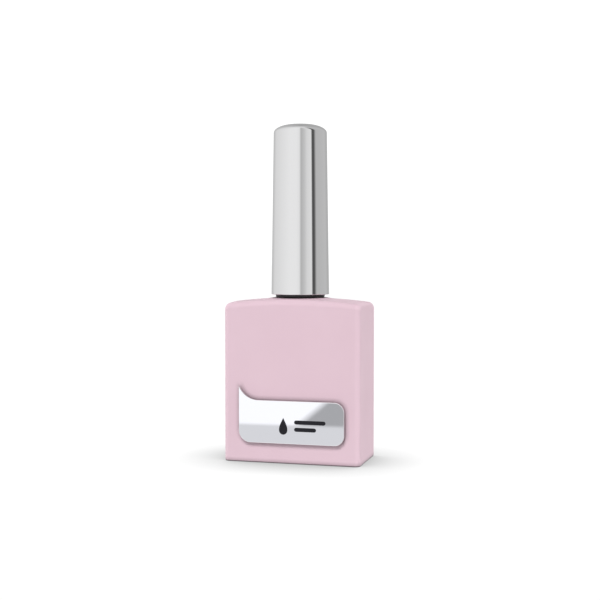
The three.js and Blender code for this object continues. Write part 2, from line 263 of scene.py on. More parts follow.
def filleted(corners, closed=False):
    """A path of [radius, height] points, from corners of (radius, height, fillet radius)."""
    points = []
    count = len(corners)
    for i, (r, z, fillet) in enumerate(corners):
        here = Vector((r, z))
        if fillet == 0 or (not closed and i in (0, count - 1)):
            points.append((r, z))
            continue
        before = (Vector(corners[i - 1][:2]) - here).normalized()
        after = (Vector(corners[(i + 1) % count][:2]) - here).normalized()
        half = before.angle(after) / 2
        reach = fillet / math.tan(half)
        centre = here + (before + after).normalized() * (fillet / math.sin(half))
        start = here + before * reach - centre
        sweep = start.angle_signed(here + after * reach - centre)
        for share in fractions(FILLET_STEPS):
            arm = start.copy()
            arm.rotate(Matrix.Rotation(-sweep * share, 2))
            points.append(tuple(centre + arm))
    return points


def lathe(name, path, closed=False, segments=LATHE_SEGMENTS):
    """A solid of revolution. An open path starts and ends on the axis, and runs up its outside."""
    inner = path if closed else path[1:-1]
    rings = [
        [
            (r * math.cos(FULL_TURN * i / segments), r * math.sin(FULL_TURN * i / segments), z)
            for i in range(segments)
        ]
        for r, z in inner
    ]
    vertices = [point for ring in rings for point in ring]
    faces = stitch(rings, closed)
    if not closed:
        first, last = len(vertices), len(vertices) + 1
        vertices += [(0, 0, path[0][1]), (0, 0, path[-1][1])]
        end = (len(rings) - 1) * segments
        for i in range(segments):
            j = (i + 1) % segments
            faces.append((first, j, i))
            faces.append((last, end + i, end + j))
    return new_mesh(name, vertices, faces)


def thread_ridge(wall_radius, crest_radius, start_height, turns):
    """A thread ridge with a rounded crest that winds up a wall, with its ends run out."""
    outward = math.copysign(1, crest_radius - wall_radius)
    root_radius = wall_radius - outward * THREAD_EMBED
    steps = round(turns * THREAD_STEPS_PER_TURN)
    section_points = 7
    rings = []
    for i in range(steps + 1):
        turned = turns * i / steps
        run_out = min(1, 0.04 + min(turned, turns - turned) / THREAD_RUN_OUT)
        crest = wall_radius + (crest_radius - wall_radius) * math.sin(run_out * QUARTER_TURN)
        section = [(root_radius, -THREAD_ROOT_HALF)]
        for k in range(section_points):
            angle = math.pi * (k / (section_points - 1) - 0.5)
            rise = THREAD_CREST_HALF * 1.35 * math.sin(angle)
            ease = 0.12 * (1 - math.cos(angle)) * (crest_radius - wall_radius)
            section.append((crest - ease, rise))
        section.append((root_radius, THREAD_ROOT_HALF))
        angle = FULL_TURN * turned
        height = start_height + THREAD_PITCH * turned
        rings.append([(r * math.cos(angle), r * math.sin(angle), height + rise) for r, rise in section])
    vertices = [point for ring in rings for point in ring]
    faces = stitch(rings)
    count = len(rings[0])
    faces.append(tuple(range(count)))
    faces.append(tuple(reversed(range(steps * count, (steps + 1) * count))))
    ridge = new_mesh("ridge", vertices, faces)
    point_normals_out(ridge)
    return ridge


def point_normals_out(obj):
    mesh = bmesh.new()
    mesh.from_mesh(obj.data)
    bmesh.ops.recalc_face_normals(mesh, faces=mesh.faces)
    mesh.to_mesh(obj.data)
    mesh.free()


def place(obj, node, body, material):
    """obj stands for a CAD node, moves with its body and takes a material."""
    obj.data.materials.clear()
    obj.data.materials.append(material)
    if node:
        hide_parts(node)
    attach(obj, body)
    return obj


# ---- material helpers ----

class Nodes:
    """A node tree, with short ways to add nodes to it."""

    def __init__(self, owner):
        owner.use_nodes = True
        self.nodes = owner.node_tree.nodes
        self.links = owner.node_tree.links

    def join(self, sockets, values):
        """Links or sets each socket, as its value is another socket or a plain value."""
        for socket, value in zip(sockets, values):
            if isinstance(value, bpy.types.NodeSocket):
                self.links.new(value, socket)
            else:
                socket.default_value = value

    def node(self, kind, inputs=None, **settings):
        node = self.nodes.new(kind)
        for key, value in settings.items():
            setattr(node, key, value)
        inputs = inputs or {}
        self.join([node.inputs[key] for key in inputs], inputs.values())
        return node

    def math(self, operation, *values):
        return self.node("ShaderNodeMath", dict(enumerate(values)), operation=operation).outputs[0]


class Shader(Nodes):
    """One Principled material and the nodes that feed it."""

    def __init__(self, name, **values):
        self.material = bpy.data.materials.new(name)
        super().__init__(self.material)
        self.surface = self.nodes["Principled BSDF"]
        for key, value in values.items():
            self.surface.inputs[key.replace("_", " ").title().replace("Ior", "IOR")].default_value = value
        self.place = self.node("ShaderNodeTexCoord").outputs["Object"]

    def noise(self, scale, detail=3.0, roughness=0.5, stretch=(1, 1, 1)):
        """Noise over the object, with scale in features per metre."""
        where = self.node("ShaderNodeMapping", {"Vector": self.place, "Scale": stretch}).outputs[0]
        inputs = {"Vector": where, "Scale": scale, "Detail": detail, "Roughness": roughness}
        return self.node("ShaderNodeTexNoise", inputs).outputs["Fac"]

    def ramp(self, value, low, high, start=0.0, end=1.0):
        """Maps value from low..high to start..end, held at both ends."""
        inputs = {"Value": value, "From Min": low, "From Max": high, "To Min": start, "To Max": end}
        return self.node("ShaderNodeMapRange", inputs).outputs[0]

    def blend(self, share, first, second):
        node = self.node("ShaderNodeMix", data_type="RGBA")
        self.join((node.inputs[0], node.inputs[6], node.inputs[7]), (share, first, second))
        return node.outputs[2]

    def painted_shade(self, reach_mm, fall):
        """Painted shade: 1 in the open, less where something stands within reach, for darkening a colour
        where shade would fall.
        """
        inputs = {"Distance": reach_mm * MM}
        near_things = self.node("ShaderNodeAmbientOcclusion", inputs, samples=16)
        return self.math("POWER", near_things.outputs["AO"], fall)

    def bump(self, height, strength, distance_mm):
        inputs = {"Height": height, "Strength": strength, "Distance": distance_mm * MM}
        self.links.new(self.node("ShaderNodeBump", inputs).outputs[0], self.surface.inputs["Normal"])

    def feed(self, name, socket):
        self.links.new(socket, self.surface.inputs[name])


def grey(value):
    return (value, value, value, 1.0)


# ---- materials ----

LACQUER_DARK = (0.742, 0.548, 0.622, 1)
LACQUER_LIGHT = (0.756, 0.562, 0.636, 1)
BARE_GLASS = (0.62, 0.66, 0.65, 1)

# where the lacquer wears off: radius of the thread's crest, height on the neck, height at the lip
BARE_CREST = (5.3, 5.42)
BARE_NECK = (43.0, 43.2)
BARE_LIP = (52.15, 52.3)

# painted shade: the lacquer's colour is darkened beside whatever stands on it, such as the plate and the
# cap
LACQUER_SHADE_REACH = 1.3
LACQUER_SHADE_FALL = 0.95

# print on the base label: centre x, centre y, half width, half height
LABEL_SWATCH = (-7.6, 0, 2.6, 3.4)
LABEL_RULES = [(3.2, 2.2, 6.4, 0.22), (1.7, 0, 4.9, 0.16), (2.5, -2.2, 5.7, 0.16)]


def pink_coating():
    """Satin soft-touch lacquer, worn to bare glass on the lip and the crest of the thread, with shade
    painted into its colour beside whatever stands on it.
    """
    shader = Shader("pink_coating", specular_ior_level=0.12)
    tone = shader.ramp(shader.noise(90, 4), 0.35, 0.65)
    lacquer = shader.blend(tone, LACQUER_DARK, LACQUER_LIGHT)
    x, y, z = shader.node("ShaderNodeSeparateXYZ", {0: shader.place}).outputs[:]
    squares = shader.math("ADD", shader.math("MULTIPLY", x, x), shader.math("MULTIPLY", y, y))
    radius = shader.math("SQRT", squares)
    wobble = shader.math("MULTIPLY", shader.noise(1500, 3), 0.25 * MM)
    crest = shader.ramp(shader.math("ADD", radius, wobble), BARE_CREST[0] * MM, BARE_CREST[1] * MM)
    on_neck = shader.ramp(z, BARE_NECK[0] * MM, BARE_NECK[1] * MM)
    lip = shader.ramp(shader.math("ADD", z, wobble), BARE_LIP[0] * MM, BARE_LIP[1] * MM)
    bare = shader.math("MAXIMUM", shader.math("MULTIPLY", crest, on_neck), lip)
    surface = shader.blend(bare, lacquer, BARE_GLASS)
    # painted shade: the colour falls towards black where something stands close by
    unshaded_share = shader.painted_shade(LACQUER_SHADE_REACH, LACQUER_SHADE_FALL)
    shader.feed("Base Color", shader.blend(unshaded_share, grey(0), surface))
    smear = shader.ramp(shader.noise(160, 5, 0.6), 0.3, 0.7, 0.46, 0.54)
    shader.feed("Roughness", shader.math("SUBTRACT", smear, shader.math("MULTIPLY", bare, 0.32)))
    shader.bump(shader.noise(4200, 2), 0.12, 0.01)
    return shader.material


def cap_metal():
    """Mirror-bright metallised sleeve with a trace of turning marks."""
    shader = Shader("cap_metal", metallic=1.0, base_color=(0.78, 0.78, 0.785, 1))
    turned = shader.noise(9000, 2, 0.5, (0.05, 0.05, 1))
    cloud = shader.noise(120, 4)
    shader.feed("Roughness", shader.ramp(shader.math("ADD", turned, cloud), 0.7, 1.3, 0.035, 0.06))
    shader.bump(turned, 0.02, 0.004)
    return shader.material


def plate_metal():
    """Polished plate, plated bright."""
    shader = Shader("plate_metal", metallic=1.0, base_color=(0.93, 0.93, 0.94, 1))
    shader.feed("Roughness", shader.ramp(shader.noise(260, 4), 0.3, 0.7, 0.02, 0.045))
    shader.bump(shader.noise(180, 2), 0.015, 0.02)
    return shader.material


def plate_ink():
    """Dark print on the plate."""
    shader = Shader("plate_ink", base_color=(0.012, 0.012, 0.016, 1), specular_ior_level=0.2)
    shader.feed("Roughness", shader.ramp(shader.noise(3000, 2), 0.3, 0.7, 0.35, 0.5))
    shader.bump(shader.noise(6000, 2), 0.1, 0.005)
    return shader.material


def black_plastic():
    """Moulded polypropylene with a fine spark-eroded texture."""
    shader = Shader("black_plastic", specular_ior_level=0.45)
    tone = shader.ramp(shader.noise(400, 3), 0.35, 0.65)
    shader.feed("Base Color", shader.blend(tone, grey(0.012), grey(0.018)))
    shader.feed("Roughness", shader.ramp(shader.noise(900, 3), 0.3, 0.7, 0.36, 0.5))
    shader.bump(shader.noise(7000, 2), 0.15, 0.012)
    return shader.material


def stem_plastic():
    """Smoother black plastic under a thin clear coat."""
    shader = Shader("stem_plastic", coat_weight=0.3, coat_roughness=0.08)
    tone = shader.ramp(shader.noise(300, 3), 0.35, 0.65)
    shader.feed("Base Color", shader.blend(tone, grey(0.01), grey(0.016)))
    shader.feed("Roughness", shader.ramp(shader.noise(700, 3), 0.3, 0.7, 0.22, 0.34))
    shader.bump(shader.noise(2600, 2), 0.05, 0.01)
    return shader.material


def gasket_foam():
    """White closed-cell foam."""
    shader = Shader("gasket_foam", subsurface_weight=0.15, subsurface_scale=0.5 * MM)
    pattern = shader.node("ShaderNodeTexVoronoi", {"Vector": shader.place, "Scale": 5200.0})
    cells = pattern.outputs["Distance"]
    shader.feed("Base Color", shader.blend(shader.ramp(cells, 0.0, 0.6), grey(0.74), grey(0.86)))
    shader.feed("Roughness", shader.ramp(cells, 0.0, 0.7, 0.75, 0.9))
    shader.bump(cells, 0.4, 0.03)
    return shader.material


def adhesive_film():
    shader = Shader("adhesive_film", transmission_weight=0.2)
    tone = shader.ramp(shader.noise(800, 4), 0.3, 0.7)
    shader.feed("Base Color", shader.blend(tone, (0.62, 0.58, 0.52, 1), (0.74, 0.71, 0.66, 1)))
    shader.feed("Roughness", shader.ramp(shader.noise(1500, 3), 0.3, 0.7, 0.35, 0.55))
    return shader.material


def bristle_nylon():
    """Dark nylon, each bristle a little lighter towards its tip."""
    shader = Shader("bristle_nylon", specular_ior_level=0.6)
    z = shader.node("ShaderNodeSeparateXYZ", {0: shader.place}).outputs["Z"]
    towards_tip = shader.ramp(z, tuft_low.z * MM, (tuft_low.z + 9) * MM, 1.0, 0.0)
    strand = shader.noise(5200, 1, 0.5, (1, 1, 0.02))
    dark = shader.blend(shader.ramp(strand, 0.35, 0.65), (0.016, 0.012, 0.01, 1), (0.045, 0.034, 0.027, 1))
    paler = shader.math("MULTIPLY", towards_tip, 0.4)
    shader.feed("Base Color", shader.blend(paler, dark, (0.12, 0.09, 0.07, 1)))
    shader.feed("Roughness", shader.ramp(strand, 0.3, 0.7, 0.28, 0.42))
    return shader.material


def staple_metal():
    shader = Shader("staple_metal", metallic=1.0)
    scratches = shader.noise(3500, 4, 0.6, (0.1, 1, 1))
    shader.feed("Base Color", shader.blend(scratches, (0.72, 0.53, 0.24, 1), (0.86, 0.68, 0.36, 1)))
    shader.feed("Roughness", shader.ramp(scratches, 0.3, 0.7, 0.22, 0.4))
    shader.bump(scratches, 0.1, 0.005)
    return shader.material


def label_paper():
    """Uncoated label with a printed swatch of the shade and three plain rules."""
    shader = Shader("label_paper", sheen_weight=0.05)
    fibres = shader.noise(2600, 6, 0.65, (1, 0.35, 1))
    paper = shader.blend(shader.ramp(fibres, 0.35, 0.65), grey(0.8), grey(0.87))
    x, y, _ = shader.node("ShaderNodeSeparateXYZ", {0: shader.place}).outputs[:]

    def bar(centre_x, centre_y, half_width, half_height):
        """1 inside a rectangle, 0 outside."""
        across = shader.math("ABSOLUTE", shader.math("SUBTRACT", x, centre_x * MM))
        along = shader.math("ABSOLUTE", shader.math("SUBTRACT", y, centre_y * MM))
        inside_x = shader.math("LESS_THAN", across, half_width * MM)
        inside_y = shader.math("LESS_THAN", along, half_height * MM)
        return shader.math("MULTIPLY", inside_x, inside_y)

    first, second, third = [bar(*rule) for rule in LABEL_RULES]
    rules = shader.math("ADD", shader.math("ADD", first, second), third)
    inked = shader.blend(bar(*LABEL_SWATCH), paper, (0.72, 0.52, 0.6, 1))
    shader.feed("Base Color", shader.blend(rules, inked, grey(0.12)))
    shader.feed("Roughness", shader.ramp(fibres, 0.3, 0.7, 0.6, 0.8))
    shader.bump(fibres, 0.25, 0.015)
    return shader.material


# ---- glass bottle ----

def rect_outline(half_width, half_depth, radius):
    """A rounded rectangle, anticlockwise from +X, with RING_POINTS points."""
    quarter = []
    for i in range(SIDE_STEPS):
        quarter.append((half_width, (half_depth - radius) * i / SIDE_STEPS))
    for i in range(CORNER_STEPS + 1):
        angle = QUARTER_TURN * i / CORNER_STEPS
        quarter.append((
            half_width - radius + radius * math.cos(angle),
            half_depth - radius + radius * math.sin(angle),
        ))
    for i in range(1, FRONT_STEPS + 1):
        quarter.append(((half_width - radius) * (1 - i / FRONT_STEPS), half_depth))
    forward, back = quarter[:QUARTER_STEPS], quarter[:0:-1]
    return (
        [(x, y) for x, y in forward]
        + [(-x, y) for x, y in back]
        + [(-x, -y) for x, y in forward]
        + [(x, -y) for x, y in back]
    )


def round_outline(radius):
    angles = [FULL_TURN * i / RING_POINTS for i in range(RING_POINTS)]
    return [(radius * math.cos(a), radius * math.sin(a)) for a in angles]


def between(first, second, share):
    return [(a[0] + (b[0] - a[0]) * share, a[1] + (b[1] - a[1]) * share) for a, b in zip(first, second)]


def ring(outline, height):
    """An outline at a height, which is a number or a function of x and y."""
    return [(x, y, height(x, y) if callable(height) else height) for x, y in outline]


def dome(x, y):
    """Height of the gentle dome of the shoulder."""
    return CROWN_TOP - CROWN_ACROSS * abs(x / CROWN_REACH) ** 2.5 - CROWN_DEEP * (y / CROWN_REACH) ** 2


def crown(x, y):
    """Height of the shoulder's outside: the dome, with a low collar round the neck."""
    away = (math.hypot(x, y) - COLLAR_INNER) / (COLLAR_OUTER - COLLAR_INNER)
    away = min(max(away, 0), 1)
    return dome(x, y) + COLLAR_RISE * (1 - away * away * (3 - 2 * away))


def body_outline(inset):
    return rect_outline(BODY_WIDTH / 2 - inset, BODY_DEPTH / 2 - inset, max(CORNER_RADIUS - inset, 0.06))


def bottle_outside():
    def recess(grow):
        return rect_outline(RECESS_HALF_WIDTH + grow, RECESS_HALF_DEPTH + grow, RECESS_RADIUS + grow)

    rings = [ring(recess(-RECESS_EDGE), RECESS_HEIGHT), ring(recess(0), RECESS_HEIGHT - RECESS_EDGE)]
    rings += [ring(recess(0), RECESS_EDGE), ring(recess(RECESS_EDGE * 0.3), RECESS_EDGE * 0.3)]
    rings.append(ring(recess(RECESS_EDGE), 0))
    for share in fractions(ARC_STEPS):
        angle = QUARTER_TURN * share
        inset = BASE_EDGE * (1 - math.sin(angle))
        rings.append(ring(body_outline(inset), BASE_EDGE * (1 - math.cos(angle))))
    for share in fractions(ARC_STEPS * 2):
        angle = QUARTER_TURN * share
        inset = SHOULDER_EDGE * (1 - math.cos(angle))
        drop = SHOULDER_EDGE * (1 - math.sin(angle))
        rings.append(ring(body_outline(inset), lambda x, y: crown(x, y) - drop))
    shoulder = body_outline(SHOULDER_EDGE)
    foot = round_outline(NECK_RADIUS + NECK_FILLET)
    for share in fractions(3 * ARC_STEPS)[1:]:
        rings.append(ring(between(shoulder, foot, share), crown))
    for share in fractions(FILLET_STEPS)[1:]:
        angle = QUARTER_TURN * share
        radius = NECK_RADIUS + NECK_FILLET * (1 - math.sin(angle))
        height = CROWN_TOP + COLLAR_RISE + NECK_FILLET * (1 - math.cos(angle))
        rings.append(ring(round_outline(radius), height))
    for share in fractions(FILLET_STEPS):
        angle = QUARTER_TURN * share
        radius = NECK_RADIUS - LIP_EDGE * (1 - math.cos(angle))
        rings.append(ring(round_outline(radius), LIP_TOP - LIP_EDGE * (1 - math.sin(angle))))
    return rings


def bottle_inside():
    half_width = BODY_WIDTH / 2 - SIDE_WALL
    half_depth = BODY_DEPTH / 2 - SIDE_WALL

    def hollow(inset):
        return rect_outline(half_width - inset, half_depth - inset, max(FLOOR_EDGE - inset, 0.06))

    def roof(x, y):
        return dome(x, y) - ROOF_WALL

    rings = []
    for share in fractions(FILLET_STEPS):
        angle = QUARTER_TURN * share
        radius = BORE_RADIUS + LIP_EDGE * (1 - math.sin(angle))
        rings.append(ring(round_outline(radius), LIP_TOP - LIP_EDGE * (1 - math.cos(angle))))
    foot = round_outline(BORE_RADIUS + LIP_EDGE)
    rings.append(ring(round_outline(BORE_RADIUS), CROWN_TOP - ROOF_WALL + LIP_EDGE))
    for share in fractions(4):
        rings.append(ring(between(foot, hollow(FLOOR_EDGE), share), roof))
    for share in fractions(FILLET_STEPS)[1:]:
        angle = QUARTER_TURN * share
        inset = FLOOR_EDGE * (1 - math.sin(angle))
        drop = FLOOR_EDGE * (1 - math.cos(angle))
        rings.append(ring(hollow(inset), lambda x, y: roof(x, y) - drop))
    for share in fractions(FILLET_STEPS):
        angle = QUARTER_TURN * share
        inset = FLOOR_EDGE * (1 - math.cos(angle))
        rings.append(ring(hollow(inset), FLOOR_TOP + FLOOR_EDGE * (1 - math.sin(angle))))
    return rings


def glass_bottle():
    bottle = loft("coated_bottle", bottle_outside() + bottle_inside())
    ridge = thread_ridge(NECK_RADIUS, NECK_THREAD_CREST, THREAD_START, NECK_THREAD_TURNS)
    boolean(bottle, ridge, "UNION")
    weight_normals(bottle)
    return bottle


# ---- emblem ----

def arc_points(centre_x, centre_z, radius, start, end, steps=12):
    angles = [start + (end - start) * share for share in fractions(steps)]
    return [(centre_x + radius * math.cos(a), centre_z + radius * math.sin(a)) for a in angles]


def plate_outline(inset):
    """A rounded bar in X and Z whose upper left corner sweeps up to a point, drawn in by inset."""
    left, right = plate_low.x + inset, plate_high.x - inset
    bottom = plate_low.z + inset
    bar_top = plate_high.z - TAIL_SWEEP * (1 - math.cos(TAIL_ANGLE))
    corner, tail_corner = PLATE_CORNER - inset, TAIL_CORNER - inset
    top = bar_top - inset
    sweep_x = plate_low.x + TAIL_SWEEP * math.sin(TAIL_ANGLE)
    sweep_z = bar_top + TAIL_SWEEP
    sweep = TAIL_SWEEP + inset
    tip_angle = math.asin((sweep_x - left) / sweep)
    points = arc_points(right - corner, bottom + corner, corner, -QUARTER_TURN, 0)
    points += arc_points(right - corner, top - corner, corner, 0, QUARTER_TURN)
    points += arc_points(sweep_x, sweep_z, sweep, -QUARTER_TURN, -QUARTER_TURN - tip_angle, 24)
    points += arc_points(left + tail_corner, bottom + tail_corner, tail_corner, math.pi, 3 * QUARTER_TURN)
    return points


def slab(name, layers):
    """A closed slab from (outline, y) layers, from its back to its front at -Y."""
    rings = [[(x, y, z) for x, z in outline] for outline, y in layers]
    count = len(rings[0])
    vertices = [point for layer in rings for point in layer]
    faces = stitch(rings)
    faces.append(tuple(reversed(range(count))))
    end = (len(rings) - 1) * count
    faces.append(tuple(range(end, end + count)))
    return new_mesh(name, vertices, faces)


def emblem_plate():
    back, front = plate_high.y, plate_low.y
    layers = [(plate_outline(PLATE_EDGE / 3), back), (plate_outline(0), back - PLATE_EDGE / 3)]
    for share in fractions(FILLET_STEPS):
        angle = QUARTER_TURN * share
        layers.append((
            plate_outline(PLATE_EDGE * (1 - math.cos(angle))),
            front + PLATE_EDGE * (1 - math.sin(angle)),
        ))
    plate = slab("mirror_plate", layers)
    weight_normals(plate)
    return plate


def adhesive():
    outline = plate_outline(FILM_INSET)
    return slab("plate_adhesive", [(outline, film_high.y), (outline, film_low.y)])


# ---- caps ----

def outer_cap():
    bottom, top = cap_low.z, cap_high.z
    radius = cap_high.x
    edge_radius = CAP_TOP_RADIUS - CAP_EDGE_REACH
    edge_height = top - CAP_DOME - CAP_EDGE_DROP

    def edge(reach, rise, shares):
        angles = [QUARTER_TURN * share for share in shares]
        return [(edge_radius + reach * math.cos(a), edge_height + rise * math.sin(a)) for a in angles]

    ceiling = edge_height + CAP_EDGE_DROP - CAP_WALL
    path = [(0, ceiling)]
    path += edge(CAP_EDGE_REACH - CAP_WALL, CAP_EDGE_DROP - CAP_WALL, reversed(fractions(12)))
    path += filleted([
        (CAP_TOP_RADIUS - CAP_WALL, edge_height, 0),
        (radius - CAP_WALL, bottom, CAP_LIP_EDGE),
        (radius, bottom, CAP_LIP_EDGE),
        (CAP_TOP_RADIUS, edge_height, 0),
    ])[1:-1]
    outside = edge(CAP_EDGE_REACH, CAP_EDGE_DROP, fractions(20))
    path += [(r, z + CAP_DOME * (1 - r * r / CAP_TOP_RADIUS ** 2)) for r, z in outside]
    path += [(r, top - CAP_DOME * r * r / CAP_TOP_RADIUS ** 2) for r in (1.8, 1.2, 0.6, 0)]
    return lathe("silver_cap", path)


def inner_cap():
    bottom, top = skirt_low.z, skirt_high.z
    radius = skirt_high.x
    cap = lathe("threaded_cap", filleted([
        (0, POST_WEB_BOTTOM, 0),
        (SOCKET_RADIUS, POST_WEB_BOTTOM, 0.2),
        (SOCKET_RADIUS, ROOF_UNDERSIDE, 0.15),
        (SKIRT_BORE, ROOF_UNDERSIDE, 0.3),
        (SKIRT_BORE, bottom, 0.15),
        (radius, bottom, 0.15),
        (radius, ROOF_TOP, 0.4),
        (POST_RADIUS, ROOF_TOP, 0.3),
        (POST_RADIUS, top, 0.2),
        (POST_BORE, top, 0.2),
        (POST_BORE, POST_WEB_TOP, 0.3),
        (0, POST_WEB_TOP, 0),
    ]))
    reach = RIB_REACH - POST_RADIUS + 0.3
    for i in range(RIB_COUNT):
        boolean(cap, rib(reach, FULL_TURN * i / RIB_COUNT, ROOF_TOP - 0.5, top - 0.5), "UNION")
    ridge = thread_ridge(SKIRT_BORE, CAP_THREAD_CREST, THREAD_START - THREAD_PITCH / 2, CAP_THREAD_TURNS)
    return boolean(cap, ridge, "UNION")


def rib(reach, angle, bottom, top):
    """One of the inner cap's ribs, tapered in at its top."""
    inner, outer, half = RIB_REACH - reach, RIB_REACH, RIB_THICKNESS / 2
    rings = []
    for height, edge in ((bottom, outer), (top - 2.5, outer), (top, outer - 0.6)):
        corners = [(inner, -half), (edge, -half), (edge, half), (inner, half)]
        rings.append([
            (x * math.cos(angle) - y * math.sin(angle), x * math.sin(angle) + y * math.cos(angle), height)
            for x, y in corners
        ])
    return loft("rib", rings)


def gasket():
    edge = 0.12
    return lathe("foam_gasket", filleted([
        (GASKET_BORE, gasket_low.z, edge),
        (gasket_high.x, gasket_low.z, edge),
        (gasket_high.x, gasket_high.z, edge),
        (GASKET_BORE, gasket_high.z, edge),
    ], closed=True), closed=True)


# ---- brush ----

def brush_stem():
    bottom, top = stem_low.z, stem_high.z
    head = stem_high.x
    tip_top = bottom + STEM_TIP_HEIGHT
    return lathe("brush_rod", filleted([
        (0, TUFT_HOLE_TOP, 0),
        (TUFT_HOLE_RADIUS, TUFT_HOLE_TOP, 0.1),
        (TUFT_HOLE_RADIUS, bottom, 0.1),
        (STEM_TIP_RADIUS, bottom, 0.25),
        (STEM_TIP_RADIUS, tip_top, 1.5),
        (STEM_RADIUS, tip_top + 2, 1.5),
        (STEM_RADIUS, STEM_HEAD_BOTTOM - 0.4, 0.2),
        (head, STEM_HEAD_BOTTOM, 0.15),
        (head, top, 0.5),
        (0, top, 0),
    ]), segments=96)


def tuft_radius(height):
    """Radius of the bundle at a height: tight in the stem, fuller below it, drawn in at the tip."""
    if height >= stem_low.z:
        return TUFT_ROOT_RADIUS
    share = (stem_low.z - height) / (stem_low.z - tuft_low.z)
    belly = tuft_high.x - BRISTLE_RADIUS - TUFT_ROOT_RADIUS
    swell = TUFT_FULLNESS * belly * math.sin(math.pi * min(share * TUFT_BELLY_SPREAD, 1))
    return TUFT_ROOT_RADIUS * (1 - share) + TUFT_TIP_RADIUS * share + swell


def bristle_tuft():
    """Bristles set out in a sunflower pattern, each a fine tapered tube."""
    random.seed(7)
    golden = math.pi * (3 - math.sqrt(5))
    vertices, faces = [], []
    for n in range(BRISTLE_COUNT):
        reach = math.sqrt((n + 0.5) / BRISTLE_COUNT)
        angle = n * golden
        top = tuft_high.z - 0.15 - 0.5 * reach * reach
        tip = tuft_low.z + TUFT_TIP_ROUNDING * reach * reach + random.uniform(0, 0.25)
        drift = random.uniform(-0.12, 0.12)
        start = len(vertices)
        for k in range(BRISTLE_STEPS + 1):
            share = k / BRISTLE_STEPS
            height = top + (tip - top) * share
            spread = tuft_radius(height) * reach
            turn = angle + drift * share
            centre = (spread * math.cos(turn), spread * math.sin(turn))
            thin = BRISTLE_RADIUS * (1 - 0.45 * max(0, share - 0.7) / 0.3)
            for side in range(BRISTLE_SIDES):
                around = FULL_TURN * side / BRISTLE_SIDES
                vertices.append((
                    centre[0] + thin * math.cos(around),
                    centre[1] + thin * math.sin(around),
                    height,
                ))
        for k in range(BRISTLE_STEPS):
            low = start + k * BRISTLE_SIDES
            for side in range(BRISTLE_SIDES):
                following = (side + 1) % BRISTLE_SIDES
                faces.append((
                    low + side,
                    low + BRISTLE_SIDES + side,
                    low + BRISTLE_SIDES + following,
                    low + following,
                ))
        end = start + BRISTLE_STEPS * BRISTLE_SIDES
        faces.append(tuple(range(start, start + BRISTLE_SIDES)))
        faces.append(tuple(reversed(range(end, end + BRISTLE_SIDES))))
    return new_mesh("bristles", vertices, faces, 60)


def staple():
    """The flat metal anchor, with its ends rounded."""
    half_thickness = staple_high.y
    low, high = staple_low.z, staple_high.z
    edge = 0.3
    half = staple_high.x

    def outline(inset):
        corners = [
            (half, low, -QUARTER_TURN),
            (half, high, 0),
            (-half, high, QUARTER_TURN),
            (-half, low, math.pi),
        ]
        points = []
        for x, z, start in corners:
            centre_x = x - math.copysign(edge, x)
            centre_z = z - math.copysign(edge, z - (low + high) / 2)
            points += arc_points(centre_x, centre_z, edge - inset, start, start + QUARTER_TURN, 6)
        return points

    return slab("brass_staple", [
        (outline(0.05), half_thickness),
        (outline(0), half_thickness - 0.05),
        (outline(0), 0.05 - half_thickness),
        (outline(0.05), -half_thickness),
    ])


def base_label():
    half_width, half_depth = label_high.x, label_high.y
    radius = 1.0
    low, high = label_low.z, label_high.z
    edge = 0.04
    return loft("shade_label", [
        ring(rect_outline(half_width - edge, half_depth - edge, radius - edge), low),
        ring(rect_outline(half_width, half_depth, radius), low + edge),
        ring(rect_outline(half_width, half_depth, radius), high - edge),
        ring(rect_outline(half_width - edge, half_depth - edge, radius - edge), high),
    ])


# ---- print on the plate ----

# the drop is centre x, centre z, height. A bar is left end x, centre z, length, height
MARK_DROP = (-1.6, 9.5, 4.2)
MARK_BARS = [(1.2, 10.55, 8.0, 1.0), (1.2, 8.75, 5.6, 1.0)]


def drop_outline(x, z, height):
    """A plain drop of liquid, point up."""
    points = []
    for share in fractions(40)[:-1]:
        angle = FULL_TURN * share
        width = 0.36 * height * math.sin(angle) * math.sin(angle / 2) ** 1.4
        points.append((x + width, z + height / 2 * math.cos(angle)))
    return list(reversed(points))


def bar_outline(x, z, width, height):
    """A bar with round ends, from its left end."""
    radius = height / 2
    points = arc_points(x + width - radius, z, radius, -QUARTER_TURN, QUARTER_TURN, 8)
    return points + arc_points(x + radius, z, radius, QUARTER_TURN, 3 * QUARTER_TURN, 8)


def plate_print():
    """A generic mark: a drop and two plain bars."""
    front = plate_low.y
    shapes = [drop_outline(*MARK_DROP)] + [bar_outline(*bar) for bar in MARK_BARS]
    vertices, faces = [], []
    for shape in shapes:
        start, count = len(vertices), len(shape)
        vertices += [(x, front, z) for x, z in shape]
        vertices += [(x, front - INK_THICKNESS, z) for x, z in shape]
        for i in range(count):
            j = (i + 1) % count
            faces.append((start + i, start + j, start + count + j, start + count + i))
        faces.append(tuple(reversed(range(start, start + count))))
        faces.append(tuple(range(start + count, start + 2 * count)))
    mark = new_mesh("plate_mark", vertices, faces)
    point_normals_out(mark)
    return mark


# ---- the pieces, each riding on its body ----

place(glass_bottle(), "glass_bottle", "bottle", pink_coating())
place(base_label(), "base_label", "bottle", label_paper())
place(adhesive(), "emblem_adhesive", "bottle", adhesive_film())
place(emblem_plate(), "emblem_plate", "bottle", plate_metal())
place(plate_print(), None, "bottle", plate_ink())
place(outer_cap(), "outer_cap", "cap", cap_metal())
place(inner_cap(), "inner_cap", "cap", black_plastic())
place(gasket(), "seal_gasket", "gasket", gasket_foam())
place(brush_stem(), "brush_stem", "brush", stem_plastic())
place(bristle_tuft(), "bristle_tuft", "brush", bristle_nylon())
place(staple(), "tuft_staple", "brush", staple_metal())


# ---- studio ----

